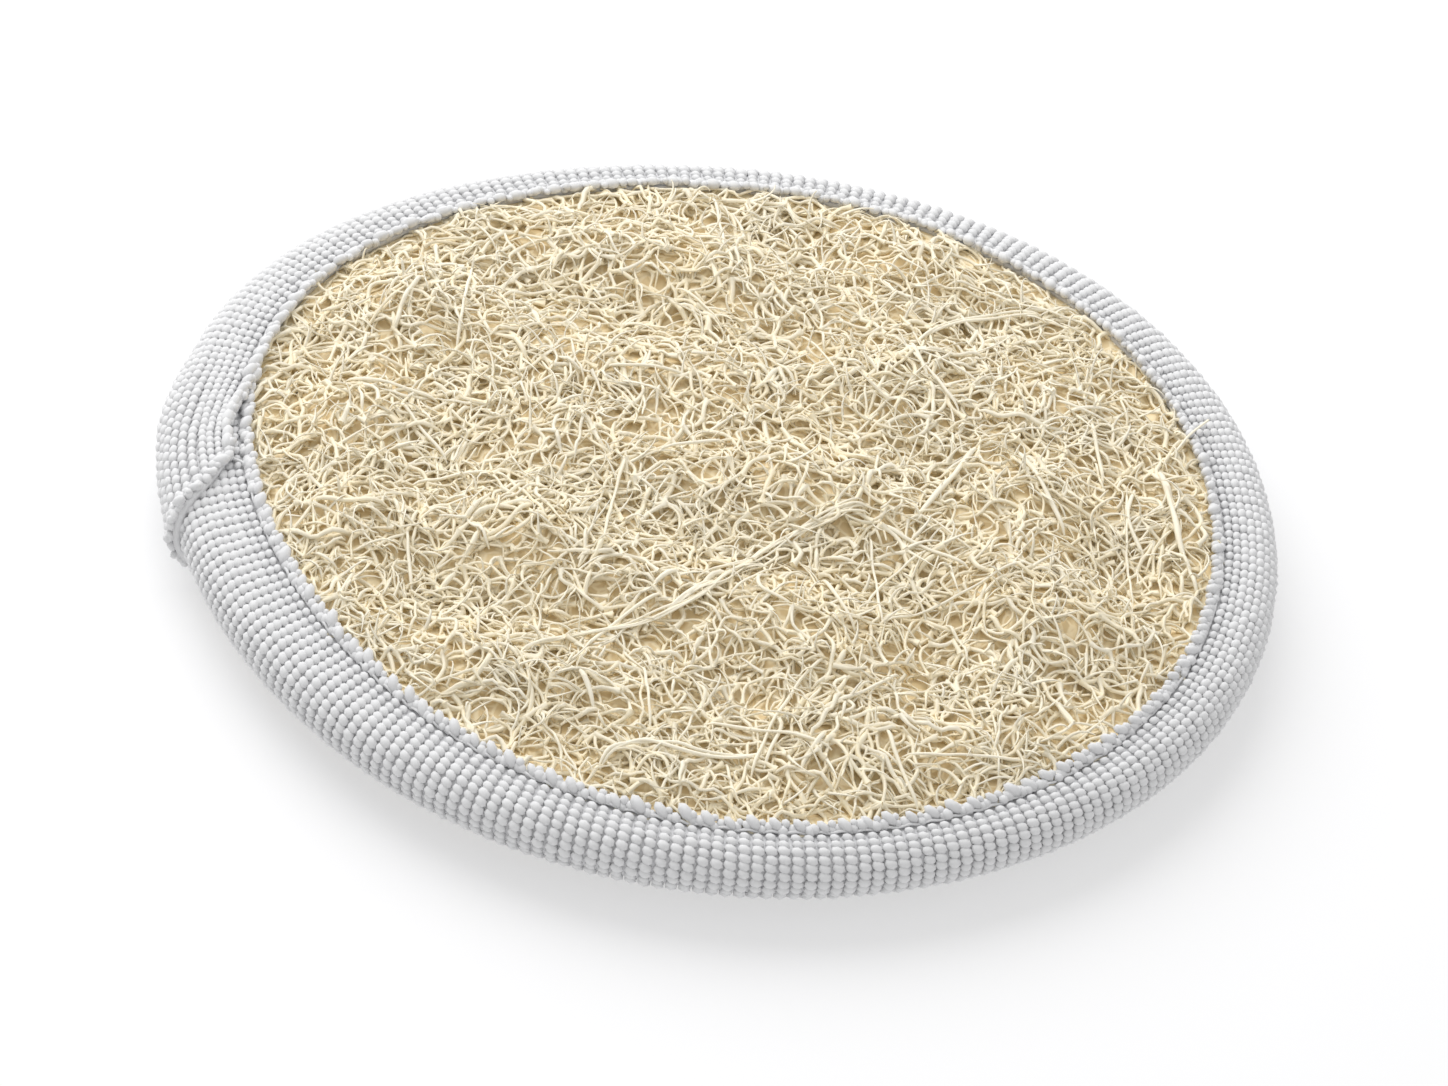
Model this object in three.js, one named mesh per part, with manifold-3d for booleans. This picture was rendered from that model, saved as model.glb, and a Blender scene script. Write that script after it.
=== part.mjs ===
// Natural loofah scrubbing pad: an oval slice of dried loofah gourd, a net of stiff plant fibres,
// whose cut edge is wrapped by a folded white knitted tape, sewn down through both faces.
// Millimetres, +Z up. The pad lies on the flattened crown of its lower face, at z = 0.
import * as THREE from 'three';
import { mergeVertices } from 'three/addons/utils/BufferGeometryUtils.js';
import Module from 'manifold-3d';

// Driving dimensions of the whole pad
const padLength = 130; // over the binding, along X
const padWidth = 120; // over the binding, along Y
const rimThickness = 7; // over the folded tape, at the pad's edge
const midHeight = 7.2; // from the surface below up to the plane of the edge
const topCrown = 6.4; // solid core above the mid plane, at the middle
const bottomCrown = 7.6; // the same below, before the surface flattens it
const clearance = 0.3; // left between pieces that touch

// How far the outline departs from a true oval, as third and fourth harmonics
const eggCos = -0.5;
const eggSin = 0.65;
const squareSin = -0.35;

// Binding tape
const tapeThickness = 1.3;
const tapeEdgeHeight = 4; // top of the tape's inner edge above the mid plane
const flapWidth = 7.5; // mean width seen from above, from the rim to the inner edge
const flapDrift = -0.7; // the upper flap is wider at the left end than at the right one
const flapSpread = 1.35; // it is wider at both ends than at the sides
const flapSpreadAngle = THREE.MathUtils.degToRad(17);
const ribCount = 72; // knitted ribs across the tape, drawn coarser than the yarn
const ribHeight = 0.5;
const picotDepth = 0.7; // scallops of the tape's inner edges
const picotDrop = 0.35; // their tips lie lower than the flap
const innerLip = 0.3; // the flap's under side ends this far short of its upper one
const stitchInset = 2; // stitch line, in from the tape's inner edge
const stitchGroove = 0.5;
const grooveSide = 0.9; // from the groove's floor to the flap's full height
const flapSlack = 0.1; // room under the flaps beyond the clearance

// Overlap, where the tape's end lies on its own beginning
const seamAngle = THREE.MathUtils.degToRad(199.5);
const seamSkew = THREE.MathUtils.degToRad(9); // the end is cut on the slant
const seamSkewReach = 0.06; // share of the tape that the slant takes to fade
const overlapShare = 0.075; // share of the tape that is double
const overlapRise = 0.4; // share of the overlap that climbs onto the lower layer
const seamStep = 0.001; // share of the tape between the end's top and foot
const endWelt = 0.5; // the end's own edge stands higher
const endWeltStart = 0.85; // share of the overlap where that begins

// Sewing thread
const threadDepth = 0.5;
const threadHalfWidth = 0.28;
const stitchRise = 0.15; // the thread stands higher between its dips

// Net of the loofah's two faces, its meshes drawn larger than the real ones
const netRings = 7; // rings of meshes round the middle one
const netSeed = 1847;
const netJitter = 0.33; // share of a mesh's side that its corners stray
const netReach = 0.94; // share of the way to the tape that the ridges' corners reach
const ridgeStand = [0.2, 1.5]; // how far the net's ridges stand above the core
const meshShrink = 0.66; // floor of a mesh against its outline
const meshDepth = [1, 2.2]; // floor of a mesh below the core
const flatSpotShare = 0.22; // part of the lower face that is pressed flat
const zoneInset = 0.2; // the net runs this far under the tape

// Long fibres that run over the net, drawn thicker and fewer than the real ones
const fibreSeed = 20261;
const topFibres = 20;
const bottomFibres = 8;
const fibreRadius = [0.5, 0.85];
const fibreLength = [14, 38];
const fibreArch = [1.2, 2.1]; // how far a fibre's middle stands above the core
const fibreBend = 0.2; // sideways bend, as a share of the length
const fibreRoot = 0.9; // how deep the ends are sunk
const fibreSteps = 4;
const fibreMargin = 2; // kept clear of the tape's inner edge

const weldDistance = 1e-4; // points nearer than this are one

const halfLength = padLength / 2;
const halfWidth = padWidth / 2;
const rimRadius = rimThickness / 2;

const wasm = await Module();
wasm.setup();

// Outline of the rim seen from above, at the polar parameter t.
function rimPoint(t) {
  const ripple = eggCos * Math.cos(3 * t) + eggSin * Math.sin(3 * t) + squareSin * Math.sin(4 * t);
  const grow = 1 + ripple / halfLength;
  return new THREE.Vector2(halfLength * Math.cos(t) * grow, halfWidth * Math.sin(t) * grow);
}

function rimNormal(t) {
  const step = 1e-3;
  const along = rimPoint(t + step).sub(rimPoint(t - step));
  return new THREE.Vector2(along.y, -along.x).normalize();
}

// A point at distance inset inside the rim and at a height above the mid plane.
function besideRim(t, inset, height) {
  const p = rimPoint(t).addScaledVector(rimNormal(t), -inset);
  return new THREE.Vector3(p.x, p.y, midHeight + height);
}

// Width of the upper (side 1) or lower (side -1) flap: what one gains, the other loses.
function flapWidthAt(t, side) {
  return flapWidth + side * (flapDrift * Math.cos(t) + flapSpread * Math.cos(2 * (t - flapSpreadAngle)));
}

// Closed solid from a grid of points that wraps round both ways, as a ring of sections does.
function ringGeometry(sections) {
  const around = sections.length;
  const across = sections[0].length;
  const position = sections.flat().flatMap((p) => [p.x, p.y, p.z]);
  const index = [];
  for (let i = 0; i < around; i++) {
    for (let j = 0; j < across; j++) {
      const a = i * across + j;
      const b = ((i + 1) % around) * across + j;
      const c = ((i + 1) % around) * across + ((j + 1) % across);
      const d = i * across + ((j + 1) % across);
      index.push(a, d, b, b, d, c);
    }
  }
  const geometry = new THREE.BufferGeometry();
  geometry.setAttribute('position', new THREE.Float32BufferAttribute(position, 3));
  geometry.setIndex(index);
  return geometry;
}

function solidFrom(geometry) {
  const bare = geometry.clone();
  bare.deleteAttribute('normal');
  bare.deleteAttribute('uv');
  const merged = mergeVertices(bare, weldDistance);
  return new wasm.Manifold(
    new wasm.Mesh({
      numProp: 3,
      vertProperties: merged.attributes.position.array,
      triVerts: new Uint32Array(merged.index.array),
    }),
  );
}

function geometryFrom(solid) {
  const mesh = solid.getMesh();
  const geometry = new THREE.BufferGeometry();
  geometry.setAttribute('position', new THREE.BufferAttribute(mesh.vertProperties, 3));
  geometry.setIndex(new THREE.BufferAttribute(mesh.triVerts, 1));
  return geometry;
}

// Stations along the tape, as shares of its length. The last one stands just before the end's edge.
const stationCount = 2 * ribCount;
const stations = [];
for (let i = 0; i < stationCount; i++) {
  stations.push({ share: i / stationCount, rib: i % 2 === 0 ? 1 : 0 });
}
stations.push({ share: 1 - seamStep, rib: 1 });

// Places across the tape, from 0 at the rim to 1 at an inner edge; the lower flap's are positive.
const across = { rim: 0, corner: 0.2, flap: 0.45, outerSide: 0.7, groove: 0.8, innerSide: 0.9, edge: 1 };

// Parameter t of a station, at a place across the tape.
function stationAngle(share, place) {
  const nearSeam = Math.max(0, 1 - Math.min(share, 1 - share) / seamSkewReach);
  return seamAngle + 2 * Math.PI * share + seamSkew * place * nearSeam;
}

// Extra height of the tape where its end lies on its beginning.
function overlapLift(share) {
  const into = (share - (1 - overlapShare)) / overlapShare;
  const climb = THREE.MathUtils.smoothstep(into, 0, overlapRise);
  const welt = THREE.MathUtils.smoothstep(into, endWeltStart, 1);
  return tapeThickness * climb + endWelt * welt;
}

// One flap's outer line, from its inner edge to the rim, on the upper (1) or lower (-1) side.
// inset and height set a point, out is the way that the ribs rise, relief is their share there.
function flapOuterLine(width, picot, side) {
  const up = [0, side];
  const groove = width - stitchInset;
  const turned = rimRadius * Math.SQRT1_2;
  const corner = [-Math.SQRT1_2, Math.SQRT1_2 * side];
  return [
    { place: across.edge, inset: width + picot, height: tapeEdgeHeight - picotDrop, out: up, relief: 0 },
    { place: across.innerSide, inset: groove + grooveSide, height: tapeEdgeHeight, out: up, relief: 1 },
    { place: across.groove, inset: groove, height: tapeEdgeHeight - stitchGroove, out: up, relief: 0 },
    { place: across.outerSide, inset: groove - grooveSide, height: tapeEdgeHeight, out: up, relief: 1 },
    { place: across.flap, inset: rimRadius, height: rimRadius, out: up, relief: 1 },
    { place: across.corner, inset: rimRadius - turned, height: turned, out: corner, relief: 1 },
  ].map((p) => ({ ...p, place: -side * p.place, height: side * p.height }));
}

// One flap's inner line, against the loofah, from its edge to the rim.
function flapInnerLine(width, side) {
  return [
    { place: across.edge, inset: width - innerLip, height: tapeEdgeHeight - tapeThickness },
    { place: across.flap, inset: rimRadius, height: rimRadius - tapeThickness },
  ].map((p) => ({ ...p, place: -side * p.place, height: side * p.height }));
}

function bindingTape() {
  const outerRim = { place: across.rim, inset: 0, height: 0, out: [-1, 0], relief: 1 };
  const innerRim = { place: across.rim, inset: tapeThickness, height: 0 };
  const sections = stations.map(({ share, rib }) => {
    const lift = overlapLift(share);
    const picot = picotDepth * (rib - 0.5);
    const middle = stationAngle(share, across.rim);
    const [upper, lower] = [1, -1].map((side) => flapWidthAt(middle, side));
    const outer = [
      ...flapOuterLine(upper, picot, 1),
      outerRim,
      ...flapOuterLine(lower, picot, -1).reverse(),
    ].map(({ place, inset, height, out, relief }) => {
      const rise = lift + ribHeight * relief * (rib - 0.5);
      return besideRim(stationAngle(share, place), inset + out[0] * rise, height + out[1] * rise);
    });
    const inner = [...flapInnerLine(lower, -1), innerRim, ...flapInnerLine(upper, 1).reverse()].map(
      ({ place, inset, height }) => besideRim(stationAngle(share, place), inset, height),
    );
    return [...outer, ...inner];
  });
  return ringGeometry(sections);
}

// One thread of the lockstitch, lying in the groove of the upper (side 1) or lower (side -1) flap.
function sewingThread(side) {
  const sections = stations.map(({ share, rib }) => {
    const line = flapWidthAt(stationAngle(share, across.rim), side) - stitchInset;
    const floor = tapeEdgeHeight - stitchGroove + overlapLift(share) + clearance + stitchRise * rib;
    const corners = [
      [0, floor],
      [threadHalfWidth * side, floor + threadDepth],
      [-threadHalfWidth * side, floor + threadDepth],
    ];
    const angle = stationAngle(share, -across.groove * side);
    return corners.map(([aside, height]) => besideRim(angle, line + aside, height * side));
  });
  return ringGeometry(sections);
}

// Height of the loofah's core beside the mid plane, at a share of the way from the middle to the tape.
const heightUnderTape = tapeEdgeHeight - tapeThickness - clearance - flapSlack;
function coreHeight(share, side) {
  const crown = side > 0 ? topCrown : bottomCrown;
  return heightUnderTape + (crown - heightUnderTape) * Math.max(0, 1 - share ** 2);
}

// Edge of the loofah that shows, just under the tape's inner edge.
function zoneEdge(t, side) {
  return besideRim(t, flapWidthAt(t, side) - zoneInset, 0);
}

// Share of the way from the middle to that edge for a point seen from above.
function shareAt(x, y, side) {
  const edge = zoneEdge(Math.atan2(y / halfWidth, x / halfLength), side);
  return Math.hypot(x, y) / Math.hypot(edge.x, edge.y);
}

// A honeycomb patch of six-sided meshes with sides of length 1, in rings round a middle one.
// Neighbours share their corners; border lists the outermost corners in order round the patch.
const meshSides = 6;
const cornerGrid = 0.01;
function netPatch() {
  const corners = [];
  const meshes = [];
  const found = new Map();
  const edgeUses = new Map();
  const corner = (x, y) => {
    const key = `${Math.round(x / cornerGrid)},${Math.round(y / cornerGrid)}`;
    if (!found.has(key)) found.set(key, corners.push({ x, y }) - 1);
    return found.get(key);
  };
  for (let q = -netRings; q <= netRings; q++) {
    for (let r = -netRings; r <= netRings; r++) {
      if (Math.abs(q + r) > netRings) continue;
      const mesh = [];
      for (let k = 0; k < meshSides; k++) {
        const angle = (2 * Math.PI * (k + 0.5)) / meshSides;
        mesh.push(corner(Math.sqrt(3) * (q + r / 2) + Math.cos(angle), 1.5 * r + Math.sin(angle)));
      }
      meshes.push(mesh);
      mesh.forEach((a, k) => {
        const b = mesh[(k + 1) % meshSides];
        const key = a < b ? `${a},${b}` : `${b},${a}`;
        edgeUses.set(key, (edgeUses.get(key) ?? 0) + 1);
      });
    }
  }
  const outermost = new Set();
  for (const [key, uses] of edgeUses) {
    if (uses === 1) key.split(',').forEach((c) => outermost.add(Number(c)));
  }
  const border = [...outermost].sort((a, b) => turnOf(corners[a]) - turnOf(corners[b]));
  return { corners, meshes, outermost, border };
}

function turnOf({ x, y }) {
  return Math.atan2(y, x);
}

// Concentric six-sided rings of the patch become concentric ovals.
function shareInPatch({ x, y }) {
  const sides = [30, 90, 150].map(THREE.MathUtils.degToRad);
  const reach = Math.max(...sides.map((a) => Math.abs(x * Math.cos(a) + y * Math.sin(a))));
  return reach / (1.5 * netRings + 1);
}

// Points of the net on one face: the ridges' corners, and each mesh's sunken floor.
function netFace(patch, random, side) {
  const between = ([low, high]) => low + (high - low) * random();
  const stray = () => netJitter * (2 * random() - 1);
  const place = (share, t, stand) => {
    const edge = zoneEdge(t, side);
    const z = midHeight + side * (coreHeight(share, side) + stand);
    return new THREE.Vector3(edge.x * share, edge.y * share, Math.max(0, z));
  };
  const ridges = patch.corners.map((corner, c) => {
    if (patch.outermost.has(c)) return place(1, turnOf(corner), 0);
    const strayed = { x: corner.x + stray(), y: corner.y + stray() };
    const share = Math.min(netReach, shareInPatch(strayed));
    return place(share, turnOf(strayed), between(ridgeStand));
  });
  const floors = patch.meshes.map((mesh) => {
    const middle = new THREE.Vector3();
    mesh.forEach((c) => middle.addScaledVector(ridges[c], 1 / meshSides));
    const share = shareAt(middle.x, middle.y, side);
    const depth = between(meshDepth);
    const pressed = side < 0 && share < flatSpotShare;
    const floor = pressed ? 0 : midHeight + side * (coreHeight(share, side) - depth);
    return mesh.map((c) => ridges[c].clone().lerp(middle, 1 - meshShrink).setZ(floor));
  });
  return { ridges, floors };
}

// The loofah without its long fibres: two netted faces joined by the edge that the tape covers.
function nettedCore(random) {
  const patch = netPatch();
  const position = [];
  const index = [];
  const put = (p) => position.push(p.x, p.y, p.z) / 3 - 1;
  const triangle = (side, a, b, c) => (side > 0 ? index.push(a, b, c) : index.push(a, c, b));
  const borders = [1, -1].map((side) => {
    const { ridges, floors } = netFace(patch, random, side);
    const ridgeAt = ridges.map(put);
    patch.meshes.forEach((mesh, m) => {
      const floorAt = floors[m].map(put);
      mesh.forEach((c, k) => {
        const next = (k + 1) % meshSides;
        triangle(side, ridgeAt[c], ridgeAt[mesh[next]], floorAt[next]);
        triangle(side, ridgeAt[c], floorAt[next], floorAt[k]);
        if (k > 1) triangle(side, floorAt[0], floorAt[k - 1], floorAt[k]);
      });
    });
    return patch.border.map((c) => ridgeAt[c]);
  });
  const turns = patch.border.map((c) => turnOf(patch.corners[c]));
  const underRim = rimRadius - tapeThickness - clearance;
  const edgeRings = [
    [rimRadius, underRim],
    [tapeThickness + clearance, 0],
    [rimRadius, -underRim],
  ].map(([inset, height]) => turns.map((t) => put(besideRim(t, inset, height))));
  const rings = [borders[0], ...edgeRings, borders[1]];
  for (let k = 0; k + 1 < rings.length; k++) {
    turns.forEach((_, i) => {
      const next = (i + 1) % turns.length;
      index.push(rings[k][i], rings[k + 1][i], rings[k + 1][next]);
      index.push(rings[k][i], rings[k + 1][next], rings[k][next]);
    });
  }
  const geometry = new THREE.BufferGeometry();
  geometry.setAttribute('position', new THREE.Float32BufferAttribute(position, 3));
  return geometry.setIndex(index);
}

// Seeded random numbers from 0 to 1.
function randomFrom(seed) {
  let state = seed;
  return () => {
    state = (state + 0x6d2b79f5) | 0;
    let mixed = Math.imul(state ^ (state >>> 15), 1 | state);
    mixed = (mixed + Math.imul(mixed ^ (mixed >>> 7), 61 | mixed)) ^ mixed;
    return ((mixed ^ (mixed >>> 14)) >>> 0) / 4294967296;
  };
}

// One long fibre arches over the net on that side, with both ends sunk in it.
function fibreGeometry(random, side) {
  const between = ([low, high]) => low + (high - low) * random();
  const length = between(fibreLength);
  const arch = between(fibreArch);
  const radius = between(fibreRadius);
  const bend = length * fibreBend * (2 * random() - 1);
  const heading = 2 * Math.PI * random();
  const t = 2 * Math.PI * random();
  const reach = Math.sqrt(random());
  const edge = besideRim(t, flapWidthAt(t, side) + fibreMargin, 0);
  const along = new THREE.Vector2(Math.cos(heading), Math.sin(heading));
  const aside = new THREE.Vector2(-along.y, along.x);
  const points = [];
  for (let k = 0; k <= fibreSteps; k++) {
    const part = k / fibreSteps;
    const swell = Math.sin(Math.PI * part);
    const flat = new THREE.Vector2(edge.x * reach, edge.y * reach)
      .addScaledVector(along, length * (part - 0.5))
      .addScaledVector(aside, bend * swell);
    const turn = Math.atan2(flat.y / halfWidth, flat.x / halfLength);
    const limit = besideRim(turn, flapWidthAt(turn, side) + fibreMargin, 0);
    flat.clampLength(0, Math.hypot(limit.x, limit.y));
    const core = coreHeight(shareAt(flat.x, flat.y, side), side);
    const height = core + arch * swell - fibreRoot * (1 - swell);
    points.push(new THREE.Vector3(flat.x, flat.y, midHeight + side * height));
  }
  const section = new THREE.Shape();
  for (let k = 0; k < 3; k++) {
    const angle = (2 * Math.PI * k) / 3;
    const [x, y] = [radius * Math.cos(angle), radius * Math.sin(angle)];
    if (k === 0) section.moveTo(x, y);
    else section.lineTo(x, y);
  }
  const path = new THREE.CatmullRomCurve3(points);
  return new THREE.ExtrudeGeometry(section, { steps: fibreSteps, extrudePath: path, bevelEnabled: false });
}

// The loofah itself: net and long fibres fused, trimmed flat where it lies on the surface below.
function loofah() {
  const random = randomFrom(fibreSeed);
  let solid = solidFrom(nettedCore(randomFrom(netSeed)));
  for (const [side, count] of [[1, topFibres], [-1, bottomFibres]]) {
    for (let k = 0; k < count; k++) {
      solid = solid.add(solidFrom(fibreGeometry(random, side)));
    }
  }
  const below = new THREE.BoxGeometry(padLength, padWidth, midHeight).translate(0, 0, -midHeight / 2);
  return geometryFrom(solid.subtract(solidFrom(below)));
}

const loofahLook = new THREE.MeshStandardMaterial({ color: 0xdcc793, roughness: 0.75, metalness: 0 });
const tapeLook = new THREE.MeshStandardMaterial({ color: 0xf0f0f1, roughness: 0.85, metalness: 0 });
const threadLook = new THREE.MeshStandardMaterial({ color: 0xf6f6f4, roughness: 0.6, metalness: 0 });

function piece(name, geometry, material) {
  const mesh = new THREE.Mesh(geometry, material);
  mesh.name = name;
  return mesh;
}

const pieces = new THREE.Group();
pieces.add(
  piece('loofah_pad', loofah(), loofahLook),
  piece('binding_tape', bindingTape(), tapeLook),
  piece('needle_thread', sewingThread(1), threadLook),
  piece('bobbin_thread', sewingThread(-1), threadLook),
);

// The origin stands under the middle of the pad's own box.
const middle = new THREE.Box3().setFromObject(pieces).getCenter(new THREE.Vector3());
pieces.position.set(-middle.x, -middle.y, 0);

const pad = new THREE.Group();
pad.add(pieces);

export default pad;
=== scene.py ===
import math

import bpy
import numpy as np
from mathutils import Matrix, Vector
from mathutils.geometry import delaunay_2d_cdt


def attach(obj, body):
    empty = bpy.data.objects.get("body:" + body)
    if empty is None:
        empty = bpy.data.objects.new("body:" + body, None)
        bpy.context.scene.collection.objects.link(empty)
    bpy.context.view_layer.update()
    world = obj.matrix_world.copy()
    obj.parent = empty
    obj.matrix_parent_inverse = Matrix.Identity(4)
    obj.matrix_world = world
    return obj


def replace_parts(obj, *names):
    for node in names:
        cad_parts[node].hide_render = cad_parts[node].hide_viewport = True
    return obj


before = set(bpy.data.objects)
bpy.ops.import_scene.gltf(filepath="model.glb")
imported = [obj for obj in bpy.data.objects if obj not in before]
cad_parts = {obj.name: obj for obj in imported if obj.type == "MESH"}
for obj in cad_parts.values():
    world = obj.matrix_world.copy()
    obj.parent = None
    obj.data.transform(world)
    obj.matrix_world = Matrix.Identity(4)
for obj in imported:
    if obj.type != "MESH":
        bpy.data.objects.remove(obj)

scene = bpy.context.scene
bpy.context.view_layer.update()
mm = 0.001


class Wire:
    # a node tree's socket; sums and products of wires add Math nodes
    def __init__(self, tree, socket=None):
        self.tree = tree
        self.socket = socket

    def make(self, kind, settings=None, sockets=None, out=0):
        node = self.tree.nodes.new(kind)
        for key, value in (settings or {}).items():
            setattr(node, key, value)
        for key, value in (sockets or {}).items():
            if isinstance(value, Wire):
                self.tree.links.new(value.socket, node.inputs[key])
            else:
                node.inputs[key].default_value = value
        return Wire(self.tree, node.outputs[out] if len(node.outputs) else None)

    def maths(self, operation, first, second):
        return self.make("ShaderNodeMath", {"operation": operation}, {0: first, 1: second})

    def __add__(self, other):
        return self.maths("ADD", self, other)

    def __radd__(self, other):
        return self.maths("ADD", other, self)

    def __sub__(self, other):
        return self.maths("SUBTRACT", self, other)

    def __rsub__(self, other):
        return self.maths("SUBTRACT", other, self)

    def __mul__(self, other):
        return self.maths("MULTIPLY", self, other)

    def mixed(self, first, second):
        # this wire is the factor between two colours, which the Mix node has as inputs 6 and 7
        settings = {"data_type": "RGBA", "clamp_factor": True}
        return self.make("ShaderNodeMix", settings, {0: self, 6: first, 7: second}, 2)


def smooth(x, low, high):
    part = np.clip((x - low) / (high - low), 0, 1)
    return part * part * (3 - 2 * part)


def unit(v):
    return v / np.linalg.norm(v, axis=-1, keepdims=True)


def meshFrom(name, points, edges=(), faces=()):
    mesh = bpy.data.meshes.new(name)
    mesh.from_pydata(np.asarray(points).tolist(), np.asarray(edges).tolist(), [list(f) for f in faces])
    mesh.polygons.foreach_set("use_smooth", np.ones(len(mesh.polygons), bool))
    mesh.update()
    return mesh


def pointValues(mesh, name, kind, values):
    field = "vector" if kind == "FLOAT_VECTOR" else "value"
    layer = mesh.attributes.new(name, kind, "POINT")
    layer.data.foreach_set(field, np.asarray(values, np.float32).ravel())


def addPiece(name, mesh, material):
    piece = bpy.data.objects.new(name, mesh)
    scene.collection.objects.link(piece)
    if not mesh.materials:
        mesh.materials.append(material)
    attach(piece, "root")
    print(name, sum(len(p.vertices) - 2 for p in mesh.polygons), "triangles")
    return piece


def startTree(name, inputs):
    tree = bpy.data.node_groups.new(name, "GeometryNodeTree")
    tree.interface.new_socket("Geometry", in_out="INPUT", socket_type="NodeSocketGeometry")
    tree.interface.new_socket("Geometry", in_out="OUTPUT", socket_type="NodeSocketGeometry")
    for label, kind in inputs:
        tree.interface.new_socket(label, in_out="INPUT", socket_type="NodeSocket" + kind)
    source = tree.nodes.new("NodeGroupInput")
    return Wire(tree), {s.name: Wire(tree, s) for s in source.outputs if s.name}


def endTree(start, last):
    start.make("NodeGroupOutput", None, {"Geometry": last})
    return start.tree


def grown(name, guide, tree, values):
    # runs a node tree on a guide mesh and returns the plain mesh that it makes
    carrier = bpy.data.objects.new(name + "Guide", guide)
    scene.collection.objects.link(carrier)
    modifier = carrier.modifiers.new("grow", "NODES")
    modifier.node_group = tree
    for item in tree.interface.items_tree:
        if item.in_out == "INPUT" and item.name in values:
            modifier[item.identifier] = values[item.name]
    graph = bpy.context.evaluated_depsgraph_get()
    mesh = bpy.data.meshes.new_from_object(carrier.evaluated_get(graph), preserve_all_data_layers=True,
                                           depsgraph=graph)
    mesh.name = name
    carrier.modifiers.remove(modifier)
    bpy.data.objects.remove(carrier)
    return mesh


def principled(name):
    material = bpy.data.materials.new(name)
    material.use_nodes = True
    tree = material.node_tree
    return material, Wire(tree), tree.nodes["Principled BSDF"]


def feed(wire, shader, socket):
    wire.tree.links.new(wire.socket, shader.inputs[socket])


def pointField(w, name):
    return w.make("ShaderNodeAttribute", {"attribute_name": name}, None, "Fac")


def noise(place, scale, detail, out=0):
    return place.make("ShaderNodeTexNoise", None, {"Vector": place, "Scale": scale, "Detail": detail}, out)


def addBump(height, strength, shader, distance=0.0001):
    sockets = {"Height": height, "Strength": strength, "Distance": distance}
    feed(height.make("ShaderNodeBump", None, sockets, "Normal"), shader, "Normal")


fibreLook = {
    "cream": (0.95, 0.895, 0.755, 1),
    "straw": (0.93, 0.825, 0.59, 1),
    # painted shade: deep fibres take this warm colour, standing in for the warm light bounced about in the
    # pits
    "pitShade": (0.97, 0.84, 0.58, 1),
    "gapShade": (0.81, 0.65, 0.385, 1),  # painted shade in the gaps between the mat's own painted fibres
    # what turns a fibre from cream to straw, and by how much
    "byTint": 0.55, "byPatch": 0.35, "byStreak": 0.25, "creamBias": 0.18,
    "patchScale": 55.0, "streakScale": 1300.0,
    "matScale": 560.0, "rippleScale": 420.0, "ripple": 0.0016, "gapGain": 11.0, "gapBias": 0.5,
    "roughness": 0.55, "roughSpread": 0.3, "bump": 0.25, "specular": 0.25,
}

def makeFibreMaterial():
    look = fibreLook
    material, w, shader = principled("loofahFibre")
    place = w.make("ShaderNodeTexCoord", None, None, "Object")
    patches = noise(place, look["patchScale"], detail=2.0)
    streaks = noise(place, look["streakScale"], detail=3.0)
    dry = pointField(w, "tint") * look["byTint"] + patches * look["byPatch"] + streaks * look["byStreak"]
    face = (dry - look["creamBias"]).mixed(look["cream"], look["straw"])
    # the mat shows a net of its own, of cells with wavy sides: lighter lines along the sides for fibres,
    # painted shade inside the cells
    ripple = noise(place, look["rippleScale"], detail=1.0, out="Color")
    bent = w.make("ShaderNodeVectorMath", {"operation": "MULTIPLY_ADD"},
                  {0: ripple, 1: (look["ripple"],) * 3, 2: place})
    cells = w.make("ShaderNodeTexVoronoi", {"feature": "DISTANCE_TO_EDGE"},
                   {"Vector": bent, "Scale": look["matScale"]})
    gapShading = pointField(w, "felt") * (cells * look["gapGain"] - look["gapBias"])
    # the deeper a fibre lies, the more painted pit shade it takes; the mat takes nearly all of it
    colour = gapShading.mixed(pointField(w, "depth").mixed(face, look["pitShade"]), look["gapShade"])
    feed(colour, shader, "Base Color")
    feed(streaks * look["roughSpread"] + (look["roughness"] - look["roughSpread"] / 2), shader, "Roughness")
    addBump(streaks, look["bump"], shader)
    shader.inputs["Specular IOR Level"].default_value = look["specular"]
    return material


tapeLook = {
    "yarn": (0.76, 0.76, 0.765, 1),
    "shade": (0.67, 0.67, 0.68, 1),
    "hollowShade": (0.68, 0.68, 0.69, 1),  # painted shade on the band between the beads
    "lintScale": 2600.0, "patchScale": 240.0, "byLint": 0.45, "byPatch": 0.4, "paleBias": 0.3,
    "roughness": 0.75, "roughSpread": 0.2, "bump": 0.35, "specular": 0.3,
}

def makeTapeMaterial():
    look = tapeLook
    material, w, shader = principled("tapeKnit")
    place = w.make("ShaderNodeTexCoord", None, None, "Object")
    lint = noise(place, look["lintScale"], detail=3.0)
    patches = noise(place, look["patchScale"], detail=2.0)
    soil = lint * look["byLint"] + patches * look["byPatch"] - look["paleBias"]
    # the band and the lap carry painted shade, the beads none
    colour = pointField(w, "hollowShade").mixed(soil.mixed(look["yarn"], look["shade"]), look["hollowShade"])
    feed(colour, shader, "Base Color")
    feed(lint * look["roughSpread"] + (look["roughness"] - look["roughSpread"] / 2), shader, "Roughness")
    addBump(lint, look["bump"], shader)
    shader.inputs["Specular IOR Level"].default_value = look["specular"]
    return material


threadLook = {
    "white": (0.82, 0.82, 0.82, 1), "grey": (0.70, 0.70, 0.71, 1),
    "twistScale": 3200.0, "roughness": 0.6, "bump": 0.3,
}

def makeThreadMaterial():
    material, w, shader = principled("sewingThread")
    place = w.make("ShaderNodeTexCoord", None, None, "Object")
    twist = noise(place, threadLook["twistScale"], detail=2.0)
    feed(twist.mixed(threadLook["white"], threadLook["grey"]), shader, "Base Color")
    addBump(twist, threadLook["bump"], shader)
    shader.inputs["Roughness"].default_value = threadLook["roughness"]
    return material


fibreMaterial = makeFibreMaterial()
tapeMaterial = makeTapeMaterial()
threadMaterial = makeThreadMaterial()
print("materials made")


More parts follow.
